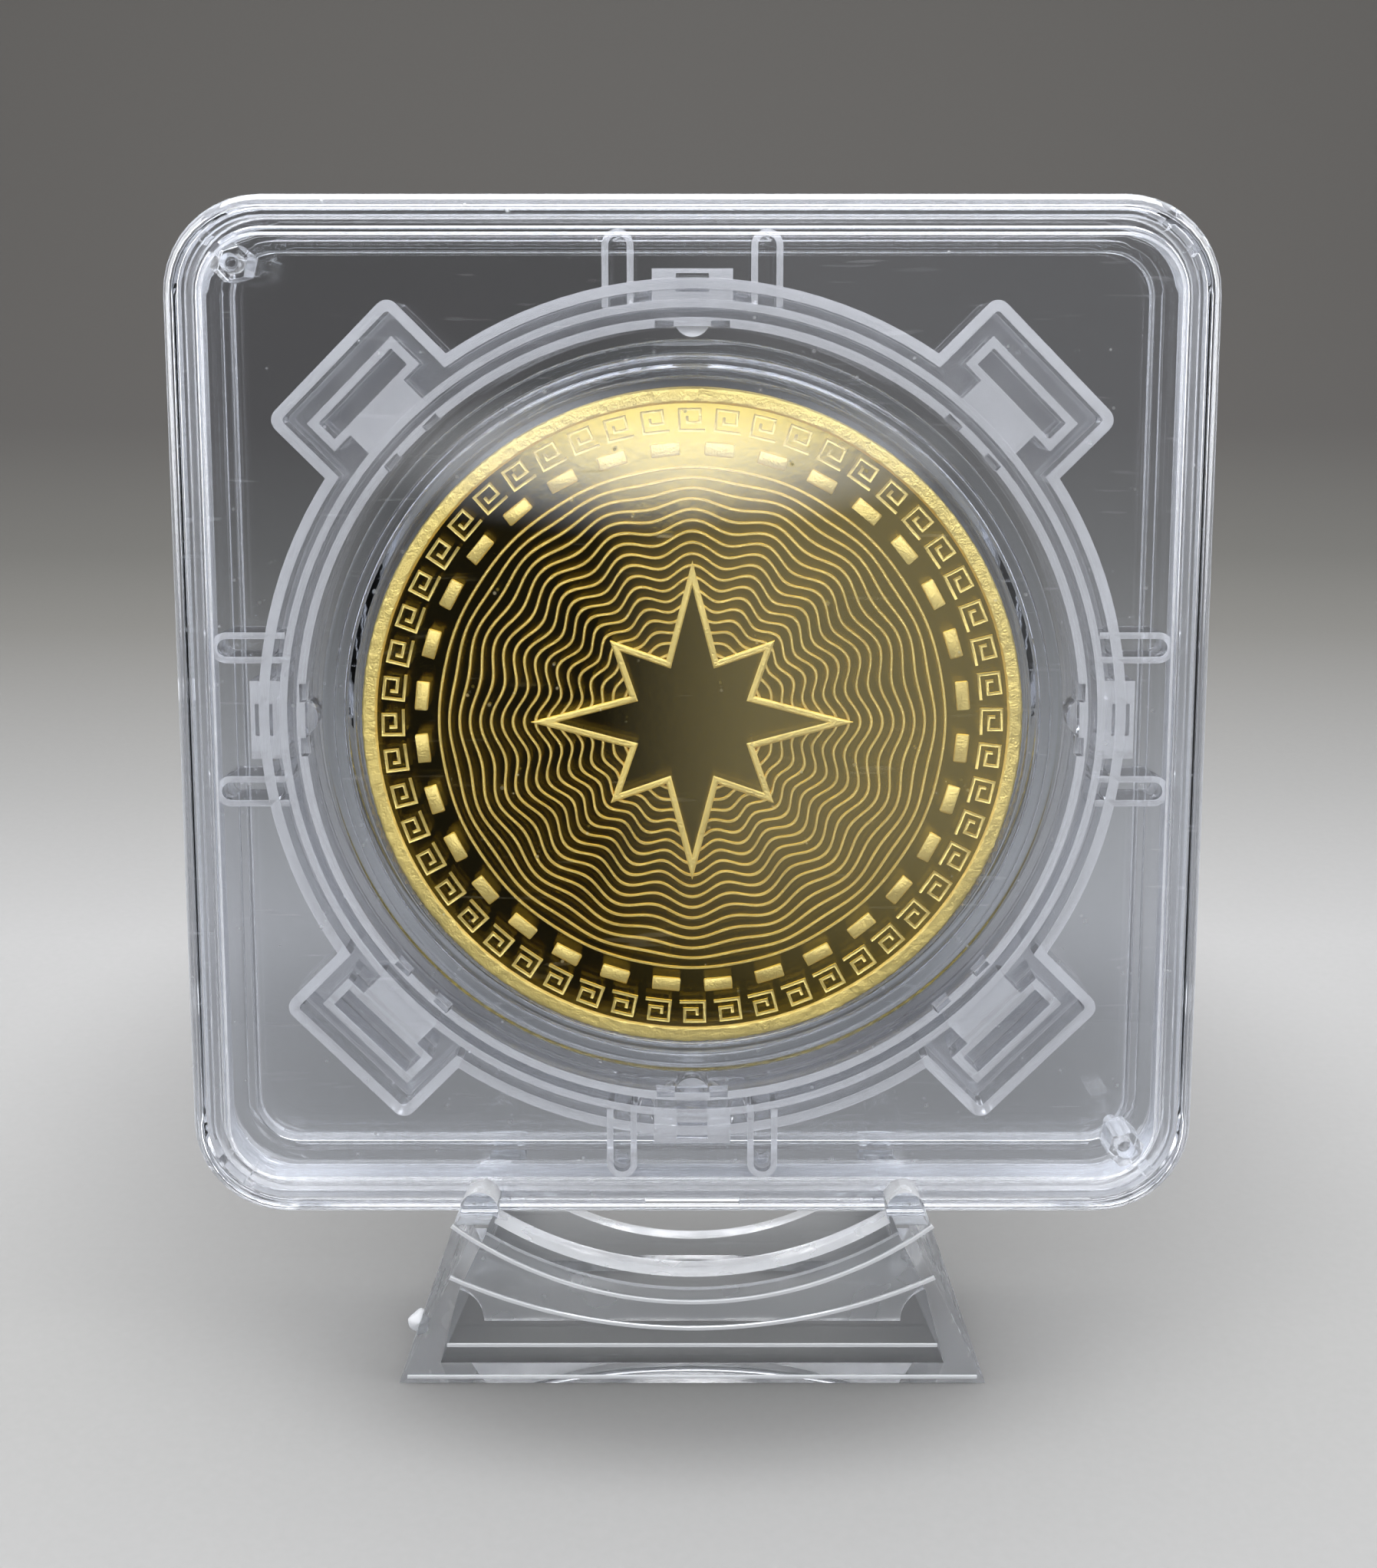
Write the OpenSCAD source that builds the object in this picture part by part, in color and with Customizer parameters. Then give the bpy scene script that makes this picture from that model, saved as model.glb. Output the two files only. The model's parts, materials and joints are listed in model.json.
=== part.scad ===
// Square snap-together slab for one coin, seated in a small clear easel.
// Millimetres. The origin is on the floor, in the middle of the front plate's foot,
// +X to the viewer's right, +Y away from the viewer and +Z up.

/* [Slab case] */
// Outer width and height of the square case
case_w = 60; // [58:0.5:64]
// Thickness of the closed case
case_t = 8.2; // [8:0.1:9]
// Radius of the case's outer corners
corner_r = 5.6; // [5:0.1:7]
// Thickness of each window plate
plate_t = 1.15; // [1:0.05:1.2]
// Height of the raised rim round each window plate
rim_h = 0.2; // [0.1:0.05:0.3]
// Width of the raised rim round each window plate
rim_w = 2.2; // [1.9:0.1:2.3]
// Chamfer on the case's outer edges
edge_chamfer = 0.6; // [0.3:0.05:0.65]
// Thickness of the outer wall
outer_wall = 0.75; // [0.7:0.05:0.75]

/* [Insert ring] */
// Inner radius of the ring that surrounds the capsule
ring_in_r = 22.7; // [22.5:0.05:22.8]
// Outer radius of the ring
ring_out_r = 25.4; // [25.2:0.05:25.6]
// Depth of the ring, front to back
ring_depth = 5.2; // [5:0.05:5.25]
// Thickness of the wall along the ring's outline
ring_wall = 0.6; // [0.5:0.05:0.65]
// Distance of a corner lug's outer face from the ring's centre
lug_reach = 29.6; // [29:0.1:30]
// Length of a corner lug
lug_len = 10; // [9:0.1:10.4]
// Distance of a locating prong's tip from the ring's centre
prong_reach = 28.1; // [27.8:0.05:28.15]
// Distance between the two prongs of a pair
prong_gap = 8.5; // [8:0.1:9]
// Width of a prong
prong_w = 1.8; // [1.6:0.1:2]

/* [Capsule and coin] */
// Outer radius of the capsule's flange
capsule_r = 22; // [21.9:0.02:22]
// Thickness of the closed capsule
capsule_t = 5.3; // [5.2:0.05:5.35]
// Radius of the capsule's cavity
cavity_r = 19.85; // [19.8:0.05:19.9]
// Thickness of a capsule wall
capsule_wall = 0.55; // [0.5:0.01:0.58]
// Radius of the coin
coin_r = 19.5; // [19:0.1:19.5]
// Thickness of the coin at its rim
coin_t = 3; // [2.5:0.1:3]
// Width of the coin's raised rim
coin_rim = 0.9; // [0.7:0.1:1.2]

/* [Easel] */
// Angle by which the slab leans back from upright, in degrees
lean = 14; // [12:0.5:16]
// Height of the channel floor above the front foot, along the slab
seat_h = 9.35; // [9:0.05:10]
// Thickness of the front plate
front_plate = 2.5; // [2.2:0.1:2.8]
// Thickness of the rear plate
rear_plate = 1.4; // [1.2:0.1:1.8]
// Free space between the slab and the front plate
front_gap = 0.8; // [0.75:0.05:1]
// Height of the front tips above the channel floor
front_tip = 2.55; // [2.2:0.05:2.6]
// Height of the rear tips above the channel floor
rear_tip = 2.3; // [2:0.05:2.6]
// Half of the easel's width at its front foot
foot_half = 17.5; // [17:0.1:18]
// Inward slope of the cheeks from foot to tip, in degrees
cheek_splay = 19; // [17:0.5:21]
// Narrowing of the easel towards its rear, in degrees
cheek_taper = 5; // [4:0.5:6]
// Thickness of a cheek
cheek_t = 1.8; // [1.6:0.1:2]
// Depth of the easel on the floor, front to back
foot_depth = 21; // [20:0.5:24]
// Radius of the arc cut through the front plate
arc_r = 22; // [21:0.5:23]

/* [Hidden] */
$fn = 96;

half = case_w / 2;
face = case_t / 2;
plate_out = face - rim_h;
cavity = plate_out - plate_t;

// nested walls of the case, given by their distance in from the outer edge
tongue = [0.82, 1.18];
second_wall = [1.26, 1.74];
third_wall = [2.35, 3.0];
tongue_top = 2.0;
second_wall_end = -0.5;
third_wall_top = -1.25;

// snap posts in two opposite inner corners, pry ribs in the other two
post_at = half - 3.75;
post_d = 0.9;
socket_bore = 1.1;
socket_hex = 2.3;
socket_end = -0.5;
gusset_len = 1.6;
gusset_w = 0.7;
gusset_end = 0.6;
rib_w = 0.55;
rib_pitch = 2.1;
rib_end = 0.5;
pry_w = 5.8;
pry_deep = 0.3;
pry_high = 0.9;

ring_half = ring_depth / 2;
floor_lo = -0.6;
floor_hi = 0.3;
mid_wall = [ring_in_r + 1.05, ring_in_r + 1.5];
boss_out = lug_reach - 1.8;
boss_deep = 2.2;
boss_len = 7;
neck_len = 4.4;
sunk = 0.1;
prong_lo = -1.1;
prong_wall = 0.37;
bridge_r = 25.9;
bridge_w = 4.6;
notch_w = 4.3;
notch_deep = 0.3;
tab_w = 2.1;
tab_reach = 22.1;

lid_fit = 0.15;
base_wall_r = cavity_r + capsule_wall;
lid_wall_in = base_wall_r + lid_fit;
lid_wall_r = lid_wall_in + capsule_wall;
capsule_half = capsule_t / 2;
capsule_skin = 1.1;
flange_t = 0.9;
coin_drop = cavity_r - coin_r - 0.1;
coin_relief = 0.25;
star_r = 9.5;

front_back = face + front_gap;
front_face = front_back + front_plate;
rear_face = -face;
seat = -half;
arc_low = seat - 2.66;
rear_arc_low = seat - 4.7;
rear_arc_r = 18;
tip_round = 1.15;
panel_t = 0.5;
panel_edge = 1.45;
panel_low = seat - 7.3;
panel_notch = 2.1;
foot_v = seat - seat_h;
foot_mid = front_plate / cos(lean) / 2;
slope = tan(cheek_splay);
big = 80;

// a place in the slab's own frame (x right, y up the slab, z out of its front) as seated
module seated() {
    translate([0, -foot_mid, 0])
        rotate([90 - lean, 0, 0])
            translate([0, -foot_v, -front_face])
                children();
}

module rounded_square(h, r) {
    union() {
        square([2 * h, 2 * (h - r)], center = true);
        square([2 * (h - r), 2 * h], center = true);
        for (x = [-1, 1], y = [-1, 1])
            translate([x * (h - r), y * (h - r)])
                circle(r = r);
    }
}

// a slab-shaped layer whose edge lies the given distance in from the outer edge
module layer(inset, z0, z1) {
    translate([0, 0, z0])
        linear_extrude(z1 - z0)
            rounded_square(half - inset, corner_r - inset);
}

// a wall that runs round the case between two distances in from the outer edge
module wall(span, z0, z1) {
    translate([0, 0, z0])
        linear_extrude(z1 - z0)
            difference() {
                rounded_square(half - span[0], corner_r - span[0]);
                rounded_square(half - span[1], corner_r - span[1]);
            }
}

// tube between two radii and two heights
module tube(r0, r1, z0, z1) {
    translate([0, 0, z0])
        difference() {
            cylinder(r = r1, h = z1 - z0);
            translate([0, 0, -1])
                cylinder(r = r0, h = z1 - z0 + 2);
        }
}

// the outer skin of one shell: window plate, raised rim and stepped edge chamfer
module shell_skin() {
    steps = 3;
    step = edge_chamfer / steps;
    difference() {
        union() {
            for (i = [0:steps - 1])
                layer(i * step, cavity, face - (steps - i) * step);
            layer(edge_chamfer, cavity, face);
        }
        layer(rim_w, plate_out, face + 1);
    }
    wall([0, outer_wall], 0, cavity + 0.1);
}

module pry_notch() {
    translate([-pry_w / 2, -half - 1, 0])
        cube([pry_w, 1 + pry_deep, pry_high]);
}

module case_front() {
    color([0.86, 0.9, 0.94, 0.35])
        seated() {
            difference() {
                shell_skin();
                pry_notch();
            }
            wall(second_wall, second_wall_end, cavity + 0.1);
            for (s = [-1, 1])
                translate([-s * post_at, s * post_at, 0])
                    snap_socket(s);
            for (s = [-1, 1], k = [-1, 1])
                pry_rib(s, k);
        }
}

// hexagonal socket and the diagonal gusset that ties it to the corner of the second wall
module snap_socket(s) {
    difference() {
        union() {
            translate([0, 0, socket_end])
                cylinder(d = socket_hex, h = cavity - socket_end + 0.1, $fn = 6);
            rotate([0, 0, 135 + (s > 0 ? 0 : 180)])
                translate([0, -gusset_w / 2, gusset_end])
                    cube([gusset_len, gusset_w, cavity - gusset_end + 0.1]);
        }
        translate([0, 0, socket_end - 1])
            cylinder(d = socket_bore, h = cavity - socket_end + 0.9);
    }
}

module pry_rib(s, k) {
    mid = half - corner_r;
    rotate([0, 0, s > 0 ? 45 : 225])
        translate([mid * sqrt(2) + corner_r - second_wall[0] - 0.05, k * rib_pitch / 2 - rib_w / 2,
                   rib_end])
            cube([second_wall[0] - outer_wall + 0.2, rib_w, cavity - rib_end + 0.1]);
}

module case_back() {
    color([0.86, 0.9, 0.94, 0.35])
        seated() {
            difference() {
                union() {
                    rotate([0, 180, 0])
                        shell_skin();
                    wall([outer_wall - 0.1, tongue[1]], -cavity - 0.1, -0.4);
                    wall(tongue, -0.5, tongue_top);
                }
                for (a = [45, 225])
                    rotate([0, 0, a])
                        translate([half, -2.2, 0.02])
                            cube([20, 4.4, 4]);
            }
            wall(third_wall, -cavity - 0.1, third_wall_top);
            for (s = [-1, 1])
                translate([-s * post_at, s * post_at, -cavity - 0.1])
                    cylinder(d = post_d, h = cavity + 2.1);
        }
}

// outline of a corner lug, lying along +x
module lug_outline() {
    translate([mid_wall[0], -lug_len / 2])
        square([lug_reach - mid_wall[0], lug_len]);
}

module prong_outline(inset) {
    reach = prong_reach - prong_w / 2;
    for (s = [-1, 1])
        translate([0, s * prong_gap / 2]) {
            translate([mid_wall[0], -prong_w / 2 + inset])
                square([reach - mid_wall[0], prong_w - 2 * inset]);
            translate([reach, 0])
                circle(d = prong_w - 2 * inset, $fn = 48);
        }
}

module ring_floor() {
    difference() {
        union() {
            circle(r = ring_out_r);
            for (a = [45:90:315])
                rotate([0, 0, a])
                    lug_outline();
        }
        circle(r = ring_in_r);
    }
}

// the raised wall that follows the outline of the ring and its corner lugs
module ring_walls() {
    difference() {
        ring_floor();
        difference() {
            circle(r = ring_out_r - ring_wall);
            circle(r = mid_wall[1]);
        }
        difference() {
            circle(r = mid_wall[0]);
            circle(r = ring_in_r + 0.5);
        }
        for (a = [45:90:315])
            rotate([0, 0, a])
                translate([mid_wall[1] - 0.15, -lug_len / 2 + ring_wall])
                    square([lug_reach - ring_wall - mid_wall[1] + 0.15, lug_len - 2 * ring_wall]);
    }
    difference() {
        circle(r = mid_wall[1]);
        circle(r = mid_wall[0]);
    }
}

// raised rectangular frame and neck inside a corner lug
module lug_boss() {
    translate([boss_out - boss_deep, -boss_len / 2])
        difference() {
            square([boss_deep, boss_len]);
            translate([0.45, 0.5])
                square([boss_deep - 0.9, boss_len - 1]);
        }
    translate([mid_wall[1] - 0.2, -neck_len / 2])
        square([boss_out - boss_deep - mid_wall[1] + 0.3, neck_len]);
}

// block between the prongs of a pair, with its small window
module prong_bridge() {
    difference() {
        translate([mid_wall[0] + 0.1, -bridge_w / 2])
            square([bridge_r - mid_wall[0] - 0.1, bridge_w]);
        translate([mid_wall[1] + 0.4, -0.95])
            square([1.05, 1.9]);
    }
}

module insert_ring() {
    color([0.9, 0.93, 0.97, 0.6])
        seated()
            difference() {
                union() {
                    translate([0, 0, floor_lo])
                        linear_extrude(floor_hi - floor_lo)
                            ring_floor();
                    translate([0, 0, -ring_half])
                        linear_extrude(ring_depth)
                            ring_walls();
                    for (a = [45:90:315])
                        rotate([0, 0, a])
                            translate([0, 0, -ring_half + sunk])
                                linear_extrude(ring_depth - 2 * sunk)
                                    lug_boss();
                    for (a = [0:90:270])
                        rotate([0, 0, a]) {
                            translate([0, 0, prong_lo])
                                linear_extrude(ring_half - sunk - prong_lo)
                                    difference() {
                                        prong_outline(0);
                                        prong_outline(prong_wall);
                                    }
                            translate([0, 0, -ring_half + sunk])
                                linear_extrude(ring_depth - 2 * sunk)
                                    prong_bridge();
                        }
                    for (a = [0:90:270])
                        rotate([0, 0, a])
                            ring_tab();
                }
                for (a = [0:45:315])
                    rotate([0, 0, a])
                        inner_notch();
            }
}

// shallow notch in the ring's inner edge, either side of a tab
module inner_notch() {
    for (s = [-1, 1])
        translate([ring_in_r - 1, s * (tab_w / 2 + (notch_w - tab_w) / 4) - (notch_w - tab_w) / 4,
                   ring_half - 1.2])
            cube([1 + notch_deep, (notch_w - tab_w) / 2, 2]);
}

// small half-round tab that centres the capsule
module ring_tab() {
    intersection() {
        translate([tab_reach + tab_w / 2, 0, -0.8])
            cylinder(d = tab_w, h = 1.6 + 0.8, $fn = 48);
        translate([tab_reach - 1, -tab_w, -1])
            cube([ring_in_r - tab_reach + 1.2, 2 * tab_w, 4]);
    }
}

module capsule_base() {
    color([0.9, 0.93, 0.96, 0.3])
        seated() {
            translate([0, 0, -capsule_half])
                cylinder(r = base_wall_r, h = capsule_skin);
            tube(cavity_r, base_wall_r, -capsule_half + capsule_skin - 0.1,
                 capsule_half - capsule_skin - 0.1);
            tube(base_wall_r - 0.1, capsule_r, -flange_t, -0.02);
        }
}

module capsule_lid() {
    color([0.9, 0.93, 0.96, 0.3])
        seated() {
            translate([0, 0, capsule_half - capsule_skin])
                cylinder(r = lid_wall_r, h = capsule_skin);
            tube(lid_wall_in, lid_wall_r, 0.02, capsule_half - capsule_skin + 0.1);
            tube(lid_wall_r - 0.1, capsule_r, 0.02, flange_t);
        }
}

// raised star with eight points, four long and four short
module star(r) {
    polygon([for (i = [0:15])
        let (len = i % 2 == 1 ? r * 0.27 : (i % 4 == 0 ? r : r * 0.66))
            [len * cos(i * 22.5), len * sin(i * 22.5)]]);
}

module coin() {
    field = coin_t / 2 - coin_relief;
    color([0.83, 0.68, 0.3])
        seated()
            translate([0, -coin_drop, 0]) {
                cylinder(r = coin_r, h = 2 * field, center = true);
                tube(coin_r - coin_rim, coin_r, -coin_t / 2, coin_t / 2);
                linear_extrude(coin_t - 2 * 0.05, center = true)
                    star(star_r);
                for (i = [0:31])
                    rotate([0, 0, i * 360 / 32])
                        translate([coin_r * 0.82, 0, 0])
                            cube([0.7, 1.6, coin_t - 0.2], center = true);
            }
}

// half-space beyond one cheek's outer plane, moved in by the given distance
module beyond_cheek(s, inset) {
    mirror([s < 0 ? 1 : 0, 0, 0])
        translate([foot_half, foot_v, front_face])
            rotate([0, cheek_taper, 0])
                rotate([0, 0, cheek_splay])
                    translate([-inset, -big / 2, -big])
                        cube([big, 2 * big, 2 * big]);
}

// space under the floor, in the slab's frame
module below_floor() {
    translate([0, foot_v, front_face])
        rotate([lean, 0, 0])
            translate([-big, -2 * big, -big])
                cube([2 * big, 2 * big, 2 * big]);
}

// one upright plate of the easel, between two depths, with its arc and rounded tips
module easel_plate(z0, z1, low, r, tip) {
    tip_v = seat + tip - tip_round;
    tip_u = foot_half - (tip_v - foot_v) * slope - tip_round / cos(cheek_splay)
        - (front_face - z1) * tan(cheek_taper);
    translate([0, 0, z0])
        linear_extrude(z1 - z0) {
            difference() {
                translate([-foot_half, foot_v])
                    square([2 * foot_half, tip_v - foot_v]);
                translate([0, low + r])
                    circle(r = r);
            }
            for (s = [-1, 1])
                translate([s * tip_u, tip_v])
                    circle(r = tip_round);
        }
}

// side view of a cheek: z forward across the page, y up
module cheek_profile() {
    rear_foot_z = front_face - foot_depth * cos(lean);
    rear_foot_v = foot_v + foot_depth * sin(lean);
    polygon([[front_face, foot_v], [front_face, seat + 1], [front_back, seat + 1],
             [front_back, seat], [rear_face, seat], [rear_face, seat + 1],
             [rear_face - rear_plate, seat + 1], [rear_foot_z, rear_foot_v + 1.5],
             [rear_foot_z, rear_foot_v - 2], [front_face, foot_v - 2]]);
}

module cheeks() {
    difference() {
        rotate([0, -90, 0])
            linear_extrude(2 * foot_half, center = true)
                cheek_profile();
        intersection() {
            translate([-big / 2, -big, -big])
                cube([big, 2 * big, 2 * big]);
            difference() {
                translate([-big / 2, -big, -big])
                    cube([big, 2 * big, 2 * big]);
                for (s = [-1, 1])
                    beyond_cheek(s, cheek_t);
            }
        }
    }
}

// thin raised panel on the back of the front plate, parallel to the arc
module back_panel() {
    wide = foot_half - (panel_low - foot_v) * slope - cheek_t - 0.4;
    translate([0, 0, front_back - panel_t])
        linear_extrude(panel_t + 0.1)
            difference() {
                translate([-foot_half, panel_low])
                    square([2 * foot_half, seat - 0.6 - panel_low]);
                translate([0, arc_low + arc_r])
                    circle(r = arc_r + panel_edge);
                for (s = [-1, 1])
                    translate([s * wide, panel_low])
                        circle(r = panel_notch);
            }
}

module stand() {
    color([0.85, 0.88, 0.92, 0.4])
        seated()
            difference() {
                union() {
                    easel_plate(front_back, front_face, arc_low, arc_r, front_tip);
                    easel_plate(rear_face - rear_plate, rear_face, rear_arc_low, rear_arc_r,
                                rear_tip);
                    cheeks();
                    back_panel();
                }
                for (s = [-1, 1])
                    beyond_cheek(s, 0);
                below_floor();
            }
}

stand();
case_back();
case_front();
insert_ring();
capsule_base();
coin();
capsule_lid();
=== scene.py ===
"""Clear snap-together coin slab on its small easel, with the gilt coin that it holds.

The pieces are modelled in the slab's own frame, in millimetres: x to the right, y up the slab
and z out of its front, from the slab's centre. SLAB turns that frame into the row frame.
"""

import json
import math
import random

import bmesh
import bpy
from bmesh.types import BMEdge, BMFace, BMVert
from bpy.props import FloatProperty, IntProperty, PointerProperty, StringProperty
from mathutils import Matrix, Vector, noise


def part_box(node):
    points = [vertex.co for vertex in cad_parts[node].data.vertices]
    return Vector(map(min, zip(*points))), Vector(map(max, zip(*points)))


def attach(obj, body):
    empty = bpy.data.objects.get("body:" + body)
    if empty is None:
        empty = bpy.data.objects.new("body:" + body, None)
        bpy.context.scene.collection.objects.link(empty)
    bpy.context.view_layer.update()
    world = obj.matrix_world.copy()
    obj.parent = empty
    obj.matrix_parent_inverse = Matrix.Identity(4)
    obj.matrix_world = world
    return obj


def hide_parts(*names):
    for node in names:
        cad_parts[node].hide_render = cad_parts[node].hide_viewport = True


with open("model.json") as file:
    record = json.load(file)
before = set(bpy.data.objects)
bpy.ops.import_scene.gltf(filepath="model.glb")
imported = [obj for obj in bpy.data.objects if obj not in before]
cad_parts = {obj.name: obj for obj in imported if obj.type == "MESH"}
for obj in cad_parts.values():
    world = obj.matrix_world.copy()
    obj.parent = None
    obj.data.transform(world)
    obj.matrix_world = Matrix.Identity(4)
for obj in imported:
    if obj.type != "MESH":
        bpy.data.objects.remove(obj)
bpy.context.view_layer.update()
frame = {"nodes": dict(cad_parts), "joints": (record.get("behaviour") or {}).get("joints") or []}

bl_info = {
    "name": "Clear coin slab",
    "version": (1, 0, 0),
    "blender": (4, 5, 0),
    "location": "3D View > Sidebar > Coin slab",
    "description": "Builds a clear coin slab, its insert, capsule, coin and easel",
    "category": "Add Mesh",
}

MM = 0.001


def slab_frame():
    """The slab's own frame, from the direction it is lifted in and the box of its two shells."""
    lift = next(joint for joint in frame["joints"] if joint["name"] == "slab_lift")
    right, up = Vector((1, 0, 0)), Vector(lift["axis"]).normalized()
    corners = [*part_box("case_back"), *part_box("case_front")]
    low = Vector(min(c[axis] for c in corners) for axis in range(3))
    high = Vector(max(c[axis] for c in corners) for axis in range(3))
    turn = Matrix((right, up, right.cross(up))).transposed().to_4x4()
    return Matrix.Translation((low + high) / 2) @ turn @ Matrix.Scale(MM, 4)


SLAB = slab_frame()
HALF = (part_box("case_front")[1].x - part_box("case_front")[0].x) / 2 / MM
COIN_R = (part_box("coin")[1].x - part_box("coin")[0].x) / 2 / MM
CAPSULE_R = (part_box("capsule_lid")[1].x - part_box("capsule_lid")[0].x) / 2 / MM
COIN_DROP = 0.25


# ---------------------------------------------------------------- sizes and colours


class CaseSizes(bpy.types.PropertyGroup):
    corner_r: FloatProperty(
        name="Corner radius", description="Radius of the case's outer corners, mm", default=5.6)
    face: FloatProperty(
        name="Half thickness", description="Half of the closed case's thickness, mm", default=4.1)
    rim_h: FloatProperty(
        name="Rim height", description="Height of the rim round each window, mm", default=0.2)
    rim_w: FloatProperty(
        name="Rim width", description="Width of the rim round each window, mm", default=2.2)
    plate_t: FloatProperty(
        name="Window thickness", description="Thickness of each window plate, mm", default=1.15)
    edge_r: FloatProperty(
        name="Edge radius", description="Radius of the case's long outer edges, mm", default=0.75)
    small_r: FloatProperty(
        name="Inner edge radius", description="Radius of the moulded inner edges, mm", default=0.1)
    seam: FloatProperty(
        name="Seam", description="Half of the gap between the two shells, mm", default=0.03)


class CoinSizes(bpy.types.PropertyGroup):
    rim: FloatProperty(name="Rim width", description="Width of the grained rim, mm", default=0.9)
    field: FloatProperty(name="Field height", description="Height of the field, mm", default=1.25)
    rim_top: FloatProperty(name="Rim height", description="Height of the rim, mm", default=1.5)
    reeds: IntProperty(name="Reeds", description="Grooves milled round the edge", default=160)
    rings: IntProperty(name="Rosette lines", description="Raised lines of the rosette", default=17)
    bars: IntProperty(name="Bars", description="Small raised bars of the outer ring", default=32)
    keys: IntProperty(name="Key figures", description="Key figures of the border", default=52)
    star_r: FloatProperty(name="Star radius", description="Reach of the long rays, mm", default=9.5)


class Finishes(bpy.types.PropertyGroup):
    case_tint: StringProperty(
        name="Case tint", description="Colour that light takes in the case", default="#E7E9ED")
    insert_tint: StringProperty(
        name="Insert tint", description="Colour that light takes in the insert", default="#FBFCFF")
    capsule_tint: StringProperty(
        name="Capsule tint", description="Colour that light takes in the capsule",
        default="#FAFBFC")
    easel_tint: StringProperty(
        name="Easel tint", description="Colour that light takes in the easel", default="#EEF0F3")
    gilt: StringProperty(
        name="Gilt", description="Colour of the polished gilding", default="#E8CC62")
    frosted_gilt: StringProperty(
        name="Frosted gilt", description="Colour of the grained gilding", default="#F8E08C")
    styrene_ior: FloatProperty(
        name="Styrene IOR", description="Refractive index of clear polystyrene", default=1.59)
    acrylic_ior: FloatProperty(
        name="Acrylic IOR", description="Refractive index of clear acrylic", default=1.49)


GROUPS = {"slab_case": CaseSizes, "slab_coin": CoinSizes, "slab_finish": Finishes}


def colour(hexa):
    """Linear RGBA of an sRGB hex colour."""
    parts = [int(hexa[i:i + 2], 16) / 255 for i in (1, 3, 5)]
    return [c / 12.92 if c <= 0.04045 else ((c + 0.055) / 1.055) ** 2.4 for c in parts] + [1.0]


# ---------------------------------------------------------------- mesh helpers


def softened(corners, closed=False, steps=3):
    """The points of a chain whose corners (x, y, radius) are rounded by arcs."""
    count = len(corners)
    points = []
    for i, corner in enumerate(corners):
        here = Vector(corner[:2])
        radius = corner[2] if len(corner) > 2 else 0
        if not radius or (not closed and i in (0, count - 1)):
            points.append(here)
            continue
        back = (Vector(corners[i - 1][:2]) - here).normalized()
        ahead = (Vector(corners[(i + 1) % count][:2]) - here).normalized()
        opening = back.angle(ahead) / 2
        centre = here + (back + ahead).normalized() * radius / math.sin(opening)
        first = here + back * radius / math.tan(opening) - centre
        last = here + ahead * radius / math.tan(opening) - centre
        points += [centre + first.lerp(last, k / steps).normalized() * radius
                   for k in range(steps + 1)]
    return points


def chain(bm, points, closed=False):
    """Joins points into a chain of edges, and returns the edges."""
    verts = [bm.verts.new(p) for p in points]
    pairs = list(zip(verts, verts[1:] + verts[:1]))
    return [bm.edges.new(pair) for pair in (pairs if closed else pairs[:-1])]


def ends(edges):
    """The vertices of edges, each once."""
    return list(dict.fromkeys(v for e in edges for v in e.verts))


def of_kind(geometry, kind):
    """The vertices, edges or faces among what an operator returned."""
    return [g for g in geometry if isinstance(g, kind)]


def pushed(bm, edges, move):
    """Extrudes edges straight along move, and returns the new ones."""
    made = bmesh.ops.extrude_edge_only(bm, edges=edges)["geom"]
    bmesh.ops.translate(bm, vec=move, verts=of_kind(made, BMVert))
    return [e for e in of_kind(made, BMEdge) if all(v in made for v in e.verts)]


def turned(bm, edges, centre, angle, steps):
    """Spins edges about an axis along z, and returns the last ones."""
    made = bmesh.ops.spin(bm, geom=ends(edges) + edges, cent=centre, axis=(0, 0, 1), dvec=(0, 0, 0),
                          angle=angle, steps=steps, use_merge=False, use_duplicate=False)
    return of_kind(made["geom_last"], BMEdge)


def placed(bm, verts, place=(0, 0, 0), turn=0.0, axis="Z"):
    """Turns vertices about an axis through the origin, then moves them to a place."""
    bmesh.ops.rotate(bm, cent=(0, 0, 0), matrix=Matrix.Rotation(turn, 3, axis), verts=verts)
    bmesh.ops.translate(bm, vec=place, verts=verts)
    return verts


def lathe(bm, corners, steps, closed=False):
    """Spins a chain of (radius, height) corners once round the slab's axis."""
    points = [Vector((x, 0, z)) for x, z in softened(corners, closed)]
    edges = chain(bm, points, closed)
    bmesh.ops.spin(bm, geom=ends(edges) + edges, cent=(0, 0, 0), axis=(0, 0, 1), dvec=(0, 0, 0),
                   angle=math.tau, steps=steps, use_merge=True, use_duplicate=False)
    bmesh.ops.remove_doubles(bm, verts=bm.verts, dist=0.0005)


def round_case(bm, corners, arc_steps=10):
    """Sweeps an open chain of (inset, height) corners round the case, and fills its two ends."""
    radius = bpy.context.scene.slab_case.corner_r
    mid = HALF - radius
    edges = chain(bm, [Vector((HALF - inset, 0, z)) for inset, z in softened(corners)])
    for quarter in range(4):
        turn = Matrix.Rotation(quarter * math.pi / 2, 3, "Z")
        edges = pushed(bm, edges, turn @ Vector((0, mid, 0)))
        edges = turned(bm, edges, turn @ Vector((mid, mid, 0)), math.pi / 2, arc_steps)
        edges = pushed(bm, edges, turn @ Vector((-mid, 0, 0)))
    bmesh.ops.remove_doubles(bm, verts=bm.verts, dist=0.001)
    bmesh.ops.holes_fill(bm, edges=[e for e in bm.edges if e.is_boundary], sides=0)


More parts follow.
